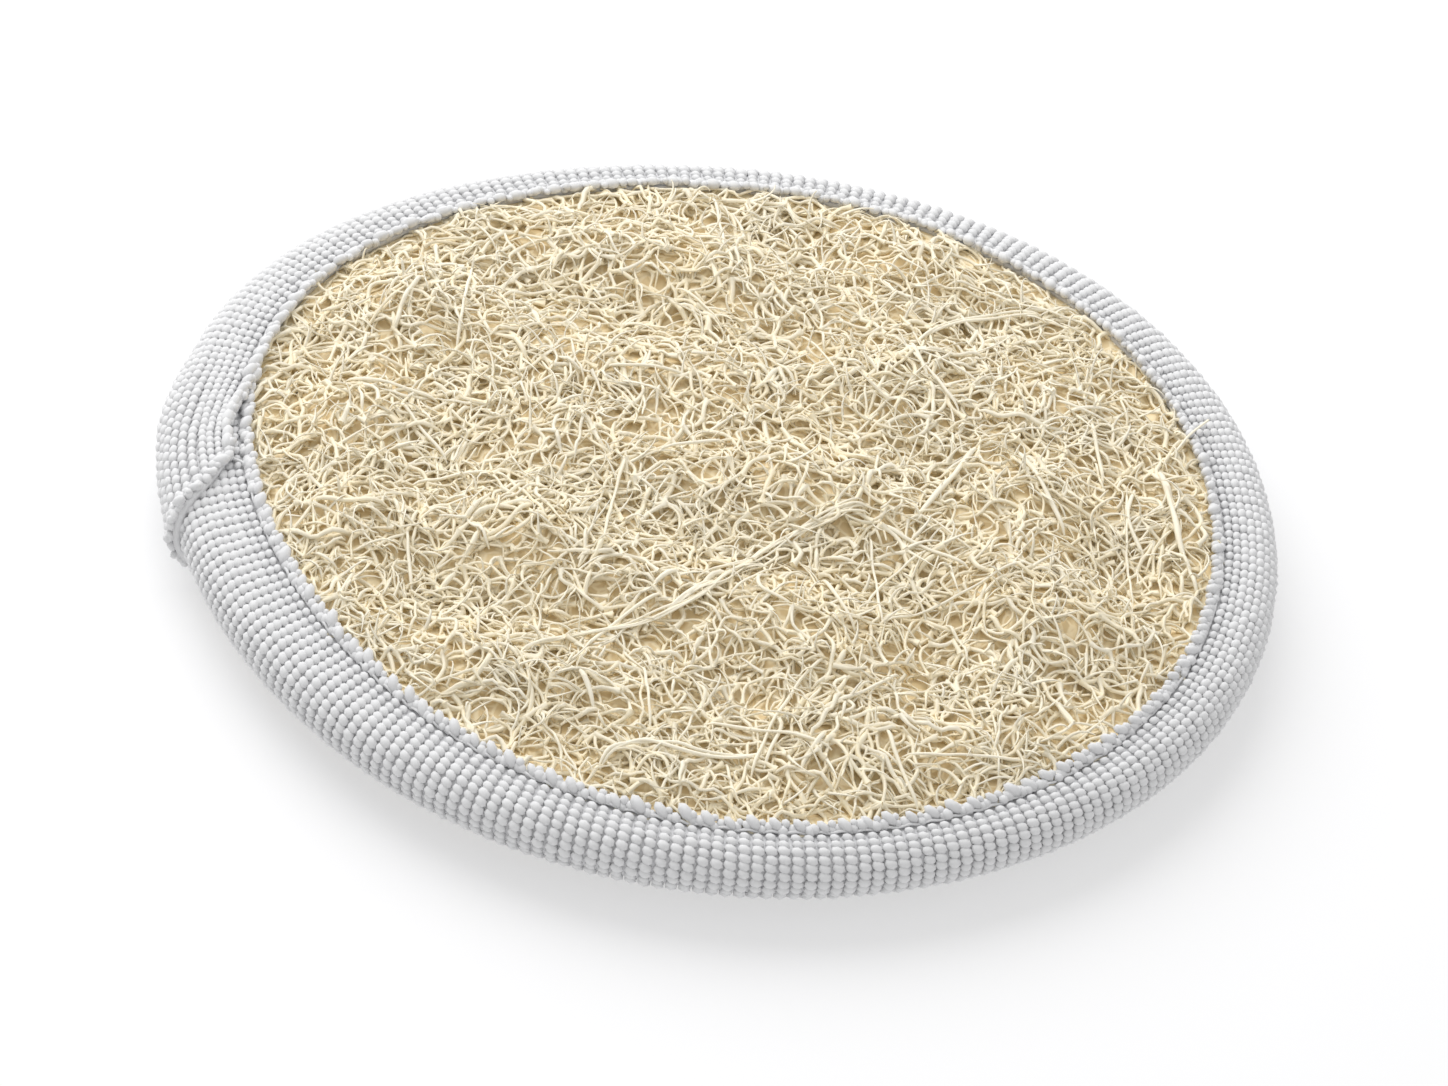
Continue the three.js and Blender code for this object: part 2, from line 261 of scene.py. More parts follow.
# outline of the pad, in millimetres, as the solids have it
pad = {
    "halfLength": 65.0, "halfWidth": 60.0,
    "eggCos": -0.5, "eggSin": 0.65, "squareSin": -0.35,
    "midHeight": 7.2,
    "centre": (0.981, 0.588),  # the outline's own centre in the frame
    "rimRadius": 3.5,
    "flapWidth": 7.5, "flapDrift": -0.7, "flapSpread": 1.35, "flapSpreadAngle": math.radians(17),
    "zoneTuck": 0.2,  # how far the loofah's face runs in under the tape's inner edge
}


def rimPoint(t):
    ripple = pad["eggCos"] * np.cos(3 * t) + pad["eggSin"] * np.sin(3 * t) + pad["squareSin"] * np.sin(4 * t)
    grow = 1 + ripple / pad["halfLength"]
    return np.stack([pad["halfLength"] * np.cos(t) * grow, pad["halfWidth"] * np.sin(t) * grow], -1)


def rimNormal(t, step=1e-3):
    along = unit(rimPoint(t + step) - rimPoint(t - step))
    return np.stack([along[..., 1], -along[..., 0]], -1)


def besideRim(t, inset, height):
    flat = rimPoint(t) - rimNormal(t) * np.asarray(inset)[..., None]
    return np.concatenate([flat, np.broadcast_to(pad["midHeight"] + height, t.shape)[..., None]], -1)


def placed(points):
    # millimetres from the outline's centre to metres in the frame
    return (np.asarray(points) + (*pad["centre"], 0)) * mm


def flapWidthAt(t, side):
    # what the upper flap (1) gains, the lower one (-1) loses
    lean = pad["flapDrift"] * np.cos(t) + pad["flapSpread"] * np.cos(2 * (t - pad["flapSpreadAngle"]))
    return pad["flapWidth"] + side * lean


def zoneEdge(t, side):
    return besideRim(t, flapWidthAt(t, side) - pad["zoneTuck"], 0 * t)[..., :2]


def shareAt(flat, side):
    t = np.arctan2(flat[..., 1] / pad["halfWidth"], flat[..., 0] / pad["halfLength"])
    return np.linalg.norm(flat, axis=-1) / np.linalg.norm(zoneEdge(t, side), axis=-1)


tape = {
    # from one inner edge round the rim to the other
    "wide": 2 * (pad["flapWidth"] - pad["rimRadius"]) + math.pi * pad["rimRadius"],
    "slope": 0.125, "thickness": 1.3, "edgeStart": 0.5, "lanes": 25, "innerStep": 4, "bandSink": 0.25,
    "grooveInset": 1.25, "grooveDepth": 0.35, "grooveWidth": 0.45,
    "ribs": 272, "rows": 17, "edgeRoom": 2.05,
    "bead": (0.79, 0.61, 0.53), "beadLean": math.radians(24), "beadSink": 0.06,
    "edgeBead": 0.8, "edgeReach": 2.2,  # the beads near the inner edges are smaller
    "beadJitter": 0.06, "beadShake": 0.035,
    "seed": 41,
}

lap = {
    "angle": math.radians(199.5), "skew": math.radians(10),
    "fade": 5.0, "past": 0.15,  # how its slant dies away across the tape
    "span": 0.085, "rise": 0.45, "lift": 1.1, "welt": 0.25,
    "pull": 2.1,  # its inner edge is pulled outwards, so the lower edge shows beside it
    # the parts of its span over which these grow
    "weltGrows": (0.85, 1), "pullGrows": (0.1, 0.8), "skewGrows": (0.25, 1),
    # paleEnd: where the painted hollow shade leaves the lap's end face
    "stations": 48, "paleEnd": (0.994, 0.998), "picotsFrom": 0.12,
    "teeth": 12, "toothBack": 0.9, "toothRoom": 0.8, "toothSink": 0.3, "toothShare": 0.998,
}

picot = {
    "count": 148, "base": 1.1, "lean": math.radians(45), "raised": math.radians(8),
    # along the loop, aside, up, and the lobe's half sizes
    "lobes": [
        (1.15, 0.0, 0.20, (1.10, 0.62, 0.62)),
        (0.35, 0.5, 0.12, (0.66, 0.58, 0.54)),
        (0.50, 1.3, 0.10, (0.72, 0.60, 0.54)),
        (1.35, 1.1, 0.06, (0.52, 0.48, 0.46)),
    ],
    "shake": 0.11, "jitter": 0.18,
}


def slantAt(q):
    # how the lap's end runs across the tape: slanted on the upper flap, straight over the rim
    return lap["past"] - (1 + lap["past"]) * np.exp(-q / lap["fade"])


def tapePoint(share, q, lift=0.0, pull=0.0, skew=0.0):
    # q runs across the tape, from the upper inner edge over the rim to the lower one
    rim = pad["rimRadius"]
    t = lap["angle"] + 2 * np.pi * share
    flat = flapWidthAt(t, 1) - rim - pull
    turn = np.clip((flat + np.pi * rim / 2 - q) / rim, -np.pi / 2, np.pi / 2)
    upper, lower = np.maximum(flat - q, 0), np.maximum(q - flat - np.pi * rim, 0)
    fromEdges = (q, tape["wide"] - q)
    grooves = sum(np.exp(-((d - tape["grooveInset"]) / tape["grooveWidth"]) ** 2) for d in fromEdges)
    rise = lift - tape["grooveDepth"] * grooves
    inset = rim * (1 - np.cos(turn)) + upper + lower - np.cos(turn) * rise
    height = rim * np.sin(turn) + tape["slope"] * (upper - lower) + np.sin(turn) * rise
    return besideRim(t + skew * slantAt(q), inset, height)


def tapeFrame(share, q, lift=0.0, pull=0.0, skew=0.0):
    # point, way along the tape, way across it and way out of it
    state = (lift, pull, skew)
    onward, aside = 1e-4, 0.05
    along = unit(tapePoint(share + onward, q, *state) - tapePoint(share - onward, q, *state))
    over = unit(tapePoint(share, q + aside, *state) - tapePoint(share, q - aside, *state))
    return tapePoint(share, q, *state), along, over, unit(np.cross(over, along))


def lapState(share):
    # lift, pull and skew of the tape's end, nothing before it
    into = (share - (1 - lap["span"])) / lap["span"]
    lift = lap["lift"] * smooth(into, 0, lap["rise"]) + lap["welt"] * smooth(into, *lap["weltGrows"])
    pull = lap["pull"] * smooth(into, *lap["pullGrows"])
    skew = lap["skew"] * smooth(into, *lap["skewGrows"])
    return lift, pull, skew


def makeBeadTree():
    inputs = [("Jitter", "Float"), ("Segments", "Int"), ("Rings", "Int"), ("Seed", "Int"),
              ("Material", "Material")]
    start, given = startTree("yarnBeads", inputs)

    def field(name):
        return start.make("GeometryNodeInputNamedAttribute", {"data_type": "FLOAT_VECTOR"}, {"Name": name})

    ball = start.make("GeometryNodeMeshUVSphere", None,
                      {"Segments": given["Segments"], "Rings": given["Rings"]})
    turn = start.make("FunctionNodeAxesToRotation", {"primary_axis": "Z", "secondary_axis": "X"},
                      {"Primary Axis": field("outward"), "Secondary Axis": field("along")})
    vary = start.make("FunctionNodeRandomValue", {"data_type": "FLOAT"},
                      {2: 1 - given["Jitter"], 3: 1 + given["Jitter"], "Seed": given["Seed"]}, 1)
    size = start.make("ShaderNodeVectorMath", {"operation": "SCALE"}, {0: field("size"), "Scale": vary})
    beads = start.make("GeometryNodeInstanceOnPoints", None,
                       {"Points": given["Geometry"], "Instance": ball, "Rotation": turn, "Scale": size})
    real = start.make("GeometryNodeRealizeInstances", None, {"Geometry": beads})
    soft = start.make("GeometryNodeSetShadeSmooth", None, {"Geometry": real})
    done = start.make("GeometryNodeSetMaterial", None, {"Geometry": soft, "Material": given["Material"]})
    return endTree(start, done)


beadTree = makeBeadTree()


def beadPiece(name, spots, seed, jitter, segments=6, rings=4):
    # spots: places, ways along and out, and half sizes
    here, along, out, size = (np.concatenate([s[k].reshape(-1, 3) for s in spots]) for k in range(4))
    guide = meshFrom(name + "Spots", placed(here))
    pointValues(guide, "along", "FLOAT_VECTOR", along)
    pointValues(guide, "outward", "FLOAT_VECTOR", out)
    pointValues(guide, "size", "FLOAT_VECTOR", size * mm)
    values = {"Jitter": jitter, "Segments": segments, "Rings": rings, "Seed": seed, "Material": tapeMaterial}
    addPiece(name, grown(name, guide, beadTree, values), tapeMaterial)


def beadSpots(share, q, rng, state):
    lift, pull, skew = state
    here, along, over, out = tapeFrame(share, q, lift - tape["beadSink"], pull, skew)
    fromEdge = np.minimum(q, tape["wide"] - q) - tape["edgeRoom"]
    growth = tape["edgeBead"] + (1 - tape["edgeBead"]) * smooth(fromEdge, 0, tape["edgeReach"])
    size = np.array(tape["bead"]) * growth[..., None]
    slant = along * math.cos(tape["beadLean"]) + over * math.sin(tape["beadLean"])
    return here + rng.normal(0, tape["beadShake"], here.shape), slant, out, size


def picotSpots(here, aside, inward, out, rng):
    # one leaning yarn loop at each place, made of a few lobes
    lean, raised = picot["lean"], picot["raised"]
    tip = inward * math.cos(lean) - aside * math.sin(lean)
    tip = unit(tip * math.cos(raised) + out * math.sin(raised))
    top = np.cross(tip, np.cross(out, tip))
    spots = []
    for push, sideways, up, size in picot["lobes"]:
        place = here + tip * push + aside * sideways + out * up
        place = place + rng.normal(0, picot["shake"], place.shape)
        spots.append((place, tip, top, np.broadcast_to(size, place.shape)))
    return spots


def ringFaces(count, wide, closed):
    # quads of a grid of points whose columns close on themselves, and its rows too if closed
    i, j = np.meshgrid(np.arange(count if closed else count - 1), np.arange(wide), indexing="ij")
    nextI, nextJ = (i + 1) % count, (j + 1) % wide
    corners = [i * wide + j, i * wide + nextJ, nextI * wide + nextJ, nextI * wide + j]
    return np.stack(corners, -1).reshape(-1, 4)


def makeTape():
    rng = np.random.default_rng(tape["seed"])
    lapStart = 1 - lap["span"]
    across = np.linspace(tape["edgeStart"], tape["wide"] - tape["edgeStart"], tape["lanes"])

    # the folded band that the beads stand on
    stations = np.arange(tape["ribs"]) / tape["ribs"]
    share, q = np.meshgrid(stations, across, indexing="ij")
    few = tape["innerStep"]
    outer = tapePoint(share, q, -tape["bandSink"])
    inner = tapePoint(share[:, ::few], q[:, ::-few], -tape["thickness"])
    ring = np.concatenate([outer, inner], 1)
    band = meshFrom("tape_band", placed(ring.reshape(-1, 3)), (), ringFaces(*ring.shape[:2], True))
    # painted shade over the whole band
    pointValues(band, "hollowShade", "FLOAT", np.ones(len(band.vertices)))
    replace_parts(addPiece("tape_band", band, tapeMaterial), "binding_tape")

    # bead rows of the ring: name, which beads, seed, segments of a bead
    rib = (np.arange(tape["ribs"]) + 0.5) / tape["ribs"]
    row = np.linspace(tape["edgeRoom"], tape["wide"] - tape["edgeRoom"], tape["rows"])
    share, q = np.meshgrid(rib, row, indexing="ij")
    flat = (0 * share, 0 * share, 0 * share)
    half = tape["wide"] / 2
    halves = (("tape_yarn_upper", q < half, 3, 7), ("tape_yarn_lower", q >= half, 4, 5))
    for name, mask, seed, segments in halves:
        spots = beadSpots(share[mask], q[mask], rng, [s[mask] for s in flat])
        beadPiece(name, [spots], seed, tape["beadJitter"], segments, segments - 2)

    # the lap: the tape's end over its own beginning
    stations = np.linspace(lapStart, 1, lap["stations"])
    share, q = np.meshgrid(stations, across, indexing="ij")
    lift, pull, skew = lapState(share)
    outer = tapePoint(share, q, lift - tape["bandSink"], pull, skew)
    inner = tapePoint(share, q, lift - tape["thickness"], pull, skew)
    sheet = np.concatenate([outer, inner[:, ::-1]], 1)
    count, wide = sheet.shape[:2]
    k = np.arange(wide // 2 - 1)
    cap = np.stack([k, wide - 1 - k, wide - 2 - k, k + 1], -1)
    faces = np.concatenate([ringFaces(count, wide, False), cap, cap[:, ::-1] + (count - 1) * wide])
    lapBand = meshFrom("tape_lap", placed(sheet.reshape(-1, 3)), (), faces)
    # painted shade over the lap, all but its end face
    pointValues(lapBand, "hollowShade", "FLOAT", np.repeat(1 - smooth(stations, *lap["paleEnd"]), wide))
    addPiece("tape_lap", lapBand, tapeMaterial)
    share, q = np.meshgrid(rib[rib > lapStart], row, indexing="ij")
    spots = beadSpots(share, q, rng, lapState(share))
    beadPiece("tape_lap_yarn", [spots], seed=5, jitter=tape["beadJitter"])

    # yarn loops along the inner edges and along the lap's slanted end
    share = (np.arange(picot["count"]) + 0.5) / picot["count"]
    doubled = share[share > lapStart + lap["picotsFrom"] * lap["span"]]
    spots = []
    for shares, state in ((share, (0 * share, 0 * share, 0 * share)), (doubled, lapState(doubled))):
        for q, inwards in ((picot["base"], -1), (tape["wide"] - picot["base"], 1)):
            here, along, over, out = tapeFrame(shares, np.full_like(shares, q), *state)
            spots += picotSpots(here, along, over * inwards, out, rng)
    q = np.linspace(lap["toothRoom"], tape["wide"] - lap["toothRoom"], lap["teeth"])
    end = np.full_like(q, lap["toothShare"])
    here, along, over, out = tapeFrame(end, q, *lapState(end))
    onward = unit(along - over * (along * over).sum(-1, keepdims=True))
    here = here - out * lap["toothSink"] - onward * lap["toothBack"]
    spots += picotSpots(here, over, onward, out, rng)
    beadPiece("tape_picots", spots, seed=7, jitter=picot["jitter"], segments=7)


makeTape()


def rounded(points, steps):
    # a smooth line through the points
    ends = (2 * points[:1] - points[1:2], 2 * points[-1:] - points[-2:-1])
    padded = np.concatenate([ends[0], points, ends[1]])
    a, b, c, d = padded[:-3], padded[1:-2], padded[2:-1], padded[3:]
    part = (np.arange(steps) / steps)[:, None, None]
    line = 0.5 * (2 * b + (c - a) * part + (2 * a - 5 * b + 4 * c - d) * part ** 2
                  + (3 * b - a - 3 * c + d) * part ** 3)
    return np.concatenate([line.transpose(1, 0, 2).reshape(-1, points.shape[1]), points[-1:]])


def respaced(line, spacing):
    # the same line with points about that far apart
    run = np.concatenate([[0], np.cumsum(np.linalg.norm(np.diff(line, axis=0), axis=1))])
    stops = np.linspace(0, run[-1], max(3, int(run[-1] / spacing) + 2))
    return np.stack([np.interp(stops, run, line[:, k]) for k in range(line.shape[1])], -1)


def makeSweepTree():
    start, given = startTree("fibreSweep", [("Sides", "Int"), ("Material", "Material")])
    girth = start.make("GeometryNodeInputNamedAttribute", {"data_type": "FLOAT"}, {"Name": "girth"})
    routes = start.make("GeometryNodeMeshToCurve", None, {"Mesh": given["Geometry"]})
    ring = start.make("GeometryNodeCurvePrimitiveCircle", None,
                      {"Resolution": given["Sides"], "Radius": 1.0})
    tubes = start.make("GeometryNodeCurveToMesh", None,
                       {"Curve": routes, "Profile Curve": ring, "Scale": girth, "Fill Caps": True})
    soft = start.make("GeometryNodeSetShadeSmooth", None, {"Geometry": tubes})
    real = start.make("GeometryNodeRealizeInstances", None, {"Geometry": soft})
    done = start.make("GeometryNodeSetMaterial", None, {"Geometry": real, "Material": given["Material"]})
    return endTree(start, done)


sweepTree = makeSweepTree()


class Bundle:
    # gathers fibre routes, then sweeps them all in one go
    floorGap = 0.02  # least room below a fibre

    def __init__(self):
        self.points, self.edges, self.values, self.total = [], [], [], 0

    def add(self, line, girth, tint=0.5, depth=0.0, closed=False):
        count = len(line)
        girth = np.broadcast_to(np.asarray(girth, float), count)
        line = np.concatenate([line[:, :2], np.maximum(line[:, 2], girth + self.floorGap)[:, None]], -1)
        first = np.arange(count if closed else count - 1)
        self.points.append(line)
        self.edges.append(self.total + np.stack([first, (first + 1) % count], -1))
        columns = [np.broadcast_to(np.asarray(c, float), count) for c in (girth, tint, depth)]
        self.values.append(np.stack(columns, -1))
        self.total += count

    def sweep(self, name, sides, material):
        guide = meshFrom(name + "Routes", placed(np.concatenate(self.points)), np.concatenate(self.edges))
        values = np.concatenate(self.values)
        pointValues(guide, "girth", "FLOAT", values[:, 0] * mm)
        pointValues(guide, "tint", "FLOAT", values[:, 1])
        pointValues(guide, "depth", "FLOAT", values[:, 2])
        mesh = grown(name, guide, sweepTree, {"Sides": sides, "Material": material})
        return addPiece(name, mesh, material)


stitch = {
    "count": 148, "radius": 0.19, "lift": 0.24, "dip": 0.16, "steps": 6, "sides": 5,
    "lastShare": 0.999, "drop": 0.002,  # where the thread comes down from the lap
}

def makeStitches():
    share = np.arange(stitch["count"] * stitch["steps"]) / (stitch["count"] * stitch["steps"])
    wave = stitch["lift"] + stitch["dip"] * np.cos(2 * np.pi * stitch["count"] * share)
    sides = (("needle_stitches", "needle_thread", tape["grooveInset"]),
             ("bobbin_stitches", "bobbin_thread", tape["wide"] - tape["grooveInset"]))
    for name, node, q in sides:
        # down from the lap where its end crosses the seam
        end = min(stitch["lastShare"], 1 + lap["skew"] * slantAt(q) / (2 * math.pi))
        onLap = 1 - smooth(share, end - stitch["drop"], end)
        lift, pull, _ = (state * onLap for state in lapState(share))
        seam = tapePoint(share, np.full_like(share, q), lift + wave, pull)
        bundle = Bundle()
        bundle.add(seam, stitch["radius"], closed=True)
        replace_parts(bundle.sweep(name, stitch["sides"], threadMaterial), node)


makeStitches()
print("tape made")


loofah = {
    "seeds": {"nets": 2026, "relief": 2031, "runners": 2056, "hairs": 2066, "strands": 2076},
    "topCrown": 6.4, "bottomCrown": 7.6, "underTape": 2.3,
    "stand": 0.7,  # mean height of the face's fibres above the solid's core
    "edgeLift": 1.45,  # more of it beside the tape
    # shares of the way out over which the face ends, and swells beside the tape
    "faceEnds": (0.8, 1.0), "swellStarts": (0.6, 0.93), "swellEnds": (0.985, 1.04),
    "edgeStand": 0.35, "edgeRelief": 0.25,
    "relief": 0.85, "waves": 9, "waveLength": (11.0, 30.0),
    "lowest": 0.3, "sunkDepth": 1.9,
}


def makeRelief():
    rng = np.random.default_rng(loofah["seeds"]["relief"])
    length = rng.uniform(*loofah["waveLength"], loofah["waves"])
    heading = rng.uniform(0, 2 * np.pi, loofah["waves"])
    phase = rng.uniform(0, 2 * np.pi, loofah["waves"])

    def relief(flat):
        total = 0.0
        for size, turn, start in zip(length, heading, phase):
            across = flat[..., 0] * np.cos(turn) + flat[..., 1] * np.sin(turn)
            total = total + np.sin(2 * np.pi * across / size + start)
        return loofah["relief"] * total / math.sqrt(loofah["waves"] / 2)

    return relief


relief = makeRelief()


def faceHeight(flat, side):
    # height of the fibres above (1) or below (-1) the mid plane
    share = shareAt(flat, side)
    under = loofah["underTape"]
    crown = loofah["topCrown"] if side > 0 else loofah["bottomCrown"]
    core = under + (crown - under) * np.maximum(0, 1 - share ** 2)
    inside = 1 - smooth(share, *loofah["faceEnds"])
    swell = smooth(share, *loofah["swellStarts"]) - smooth(share, *loofah["swellEnds"])
    stand = loofah["stand"] * (loofah["edgeStand"] + (1 - loofah["edgeStand"]) * inside)
    waves = relief(flat * side) * (loofah["edgeRelief"] + (1 - loofah["edgeRelief"]) * inside)
    return core + loofah["edgeLift"] * swell + stand + waves


def lifted(flat, side, depth, lowest=loofah["lowest"]):
    height = pad["midHeight"] + side * (faceHeight(flat, side) - depth)
    return np.concatenate([flat, np.maximum(height, lowest)[..., None]], -1)


mat = {
    "turns": 120, "rings": 40,
    "depth": 1.6, "edge": 0.8, "edgeSpan": (0.95, 1.0), "lowest": 1.3, "under": 1.7,
    # shade: how much of the painted warm pit shade the mat takes
    "tint": 0.5, "shade": 0.95,
}


def makeMat():
    # the dense inside of the loofah, seen only down in the pits
    turns, rings = mat["turns"], mat["rings"]
    t = np.arange(turns) / turns * 2 * np.pi
    share = np.linspace(0, 1, rings + 1)[1:]
    depth = mat["depth"] + (mat["edge"] - mat["depth"]) * smooth(share, *mat["edgeSpan"])
    points, faces, rims = [], [], []
    total = 0
    for side in (1, -1):
        middle = lifted(np.zeros((1, 2)), side, mat["depth"], mat["lowest"])
        rows = lifted(zoneEdge(t, side) * share[:, None, None], side, depth[:, None], mat["lowest"])
        under = besideRim(t, pad["rimRadius"] + 0 * t, side * mat["under"])
        points += [middle, rows.reshape(-1, 3), under]
        index = total + 1 + np.arange((rings + 1) * turns).reshape(rings + 1, turns)
        onward = np.roll(index, -1, 1)
        fan = [[total, a, b] for a, b in zip(index[0], onward[0])]
        quads = np.stack([index[:-1], index[1:], onward[1:], onward[:-1]], -1).reshape(-1, 4).tolist()
        faces += [f if side > 0 else f[::-1] for f in fan + quads]
        rims.append((index[-1], onward[-1]))
        total += 1 + (rings + 1) * turns
    (upper, upperNext), (lower, lowerNext) = rims
    faces += np.stack([upper, lower, lowerNext, upperNext], -1).tolist()
    mesh = meshFrom("loofah_mat", placed(np.concatenate(points)), (), faces)
    pointValues(mesh, "tint", "FLOAT", np.full(total, mat["tint"]))
    pointValues(mesh, "depth", "FLOAT", np.full(total, mat["shade"]))
    pointValues(mesh, "felt", "FLOAT", np.ones(total))
    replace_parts(addPiece("loofah_mat", mesh, fibreMaterial), "loofah_pad")


makeMat()


nets = [
    {"name": "loofah_net_upper", "side": 1, "star": True, "cell": 6.2,
     "depth": (0.0, 0.8), "radius": (0.16, 0.33), "sides": 4, "drop": 0.42, "spacing": 0.7},
    {"name": "loofah_net_middle", "side": 1, "star": True, "cell": 7.2,
     "depth": (0.5, 1.2), "radius": (0.15, 0.31), "sides": 3, "drop": 0.36, "spacing": 0.8},
    {"name": "loofah_net_lower", "side": 1, "star": False, "cell": 6.5,
     "depth": (0.7, 1.4), "radius": (0.18, 0.29), "sides": 3, "drop": 0.05, "spacing": 0.95},
    {"name": "loofah_back_upper", "side": -1, "star": True, "cell": 6.5,
     "depth": (0.0, 0.6), "radius": (0.14, 0.27), "sides": 3, "drop": 0.42, "spacing": 0.8},
    {"name": "loofah_back_lower", "side": -1, "star": False, "cell": 8.0,
     "depth": (1.0, 1.8), "radius": (0.2, 0.34), "sides": 3, "drop": 0.05, "spacing": 1.0},
]
netRule = {
    "half": (70, 66), "cellSide": 1.155, "rowRatio": 0.866, "scatter": 0.5,  # a scattered triangular grid
    "pointReach": 1.1, "cornerReach": 1.05, "snap": 1e-6, "nudge": 1e-9,
    "straight": -0.5, "longest": 14,  # where a fibre runs on through a corner, and through how many
    "depthShake": 0.18, "aside": 0.17, "bow": 0.05, "bowSpread": 0.22, "roundSteps": 4,
    "thinBias": 1.6, "flare": 0.9, "flareLength": 0.4, "lumps": 0.06,
}


def netGraph(rng, cell, side, star):
    # the triangles between scattered points: their sides make a net with star corners, or their
    # middles one whose corners join three fibres
    step = math.sqrt(cell * netRule["cellSide"])
    halfX, halfY = netRule["half"]
    columns, rows = np.arange(-halfX, halfX, step), np.arange(-halfY, halfY, step * netRule["rowRatio"])
    spots = np.stack(np.meshgrid(columns, rows), -1)
    spots[1::2, :, 0] += step / 2
    spots = spots.reshape(-1, 2)
    spots = spots + rng.uniform(-netRule["scatter"], netRule["scatter"], spots.shape) * step
    spots = spots[shareAt(spots, side) < netRule["pointReach"]]
    points, _, triangles, *_ = delaunay_2d_cdt([Vector(s) for s in spots], [], [], 0, netRule["snap"])
    points = np.array([p[:] for p in points])
    middles = points[np.array(triangles)].mean(1)
    owners = {}
    for number, corners in enumerate(triangles):
        for k in range(3):
            edge = tuple(sorted((corners[k], corners[(k + 1) % 3])))
            owners.setdefault(edge, []).append(number)
    nodes = points if star else middles
    inside = shareAt(nodes, side) < netRule["cornerReach"]
    links = list(owners) if star else [pair for pair in owners.values() if len(pair) == 2]
    return nodes, [(a, b) for a, b in links if inside[a] and inside[b]]


def netChains(nodes, links, rng, drop):
    # fibres that run on through the net's corners as straight as they can
    links = [link for link in links if rng.random() > drop]
    at = {}
    for number, (a, b) in enumerate(links):
        at.setdefault(a, []).append(number)
        at.setdefault(b, []).append(number)
    onwards = {}
    for node, numbers in at.items():
        ends = [sum(links[n]) - node for n in numbers]
        ways = [unit(nodes[end] - nodes[node] + netRule["nudge"]) for end in ends]
        pairs = [(ways[p] @ ways[q], numbers[p], numbers[q]) for q in range(len(ways)) for p in range(q)]
        if pairs and min(pairs)[0] < netRule["straight"]:
            _, one, other = min(pairs)
            onwards[(node, one)], onwards[(node, other)] = other, one
    used = set()
    chains = []
    for number in range(len(links)):
        if number in used:
            continue
        used.add(number)
        chain = list(links[number])
        for _ in range(2):
            link, node = number, chain[-1]
            while onwards.get((node, link), number) not in used and len(chain) < netRule["longest"]:
                link = onwards[(node, link)]
                used.add(link)
                node = sum(links[link]) - node
                chain.append(node)
            chain.reverse()
        chains.append(chain)
    return chains


def sunkShare(line, side):
    # how far down towards the mat a fibre lies, which sets how much painted pit shade it takes
    depth = faceHeight(line[:, :2], side) - side * (line[:, 2] - pad["midHeight"])
    return np.clip(depth / loofah["sunkDepth"], 0, 1)


def makeNet(layer, seed):
    rng = np.random.default_rng(seed)
    side = layer["side"]
    nodes, links = netGraph(rng, layer["cell"], side, layer["star"])
    depth = rng.uniform(*layer["depth"], len(nodes)) + rng.normal(0, netRule["depthShake"], len(nodes))
    knots = lifted(nodes, side, depth)
    bundle = Bundle()
    routes = []
    for chain in netChains(nodes, links, rng, layer["drop"]):
        line = knots[chain]
        spans = line[1:] - line[:-1]
        aside = np.stack([-spans[:, 1], spans[:, 0], 0 * spans[:, 0]], -1)
        middles = (line[1:] + line[:-1]) / 2 + aside * rng.normal(0, netRule["aside"], (len(spans), 1))
        middles[:, 2] += rng.normal(netRule["bow"], netRule["bowSpread"], len(spans)) * side
        route = np.empty((len(line) + len(middles), 3))
        route[0::2], route[1::2] = line, middles
        route = respaced(rounded(route, netRule["roundSteps"]), layer["spacing"])
        fromEnd = np.minimum(np.arange(len(route)), np.arange(len(route))[::-1]) * layer["spacing"]
        thin, thick = layer["radius"]
        radius = thin + (thick - thin) * rng.random() ** netRule["thinBias"]
        flare = netRule["flare"] * np.exp(-fromEnd / netRule["flareLength"])
        girth = radius * (1 + flare + rng.normal(0, netRule["lumps"], len(route)))
        bundle.add(route, girth, rng.random(), sunkShare(route, side))
        routes.append(route)
    bundle.sweep(layer["name"], layer["sides"], fibreMaterial)
    return routes


routes = {layer["name"]: makeNet(layer, loofah["seeds"]["nets"] + k) for k, layer in enumerate(nets)}
print("nets made")


runners = [
    {"name": "loofah_runners", "side": 1, "count": 1150, "spacing": 0.8, "sides": 4},
    {"name": "loofah_back_runners", "side": -1, "count": 500, "spacing": 0.8, "sides": 3},
]
runner = {
    "length": (3.2, 10.0), "radius": (0.13, 0.25), "thick": (0.26, 0.37), "thickShare": 0.13,
    "bend": 0.09, "sway": 0.17, "ride": (-0.3, 0.5), "weave": 0.35, "weaveRate": (1.0, 2.2),
    "reach": 1.03, "fewest": 4, "root": 0.9, "rootLength": 0.8,
    "taper": 0.55, "taperLength": 1.2, "girth": 1.1, "swell": 0.1,
    "branchShare": 0.4, "branchLength": (1.5, 5.0), "branchTurn": (0.4, 1.0), "branchEnd": (-0.6, 0.9),
    "branchFewest": 3, "branchGirth": 1.2, "branchTaper": 0.75,
}
walkRule = {"fewest": 5, "swayRate": (0.8, 2.2), "lastPhase": 6.3}


def wander(rng, run, rates):
    # a wave along a line, its rate and start drawn at random
    return np.sin(run * rng.uniform(*rates) + rng.uniform(0, walkRule["lastPhase"]))


def walk(rng, start, heading, length, spacing, bend, sway):
    # a curving line from a start, and its heading on the way
    count = max(walkRule["fewest"], int(length / spacing) + 1)
    run = np.arange(count) * spacing
    turn = heading + rng.normal(0, bend) * run + sway * wander(rng, run, walkRule["swayRate"])
    steps = np.stack([np.cos(turn), np.sin(turn)], -1) * spacing
    return start + np.concatenate([[[0, 0]], np.cumsum(steps[:-1], 0)]), turn


def anyPlace(rng, side):
    return zoneEdge(np.array(rng.uniform(0, 2 * np.pi)), side) * math.sqrt(rng.random())


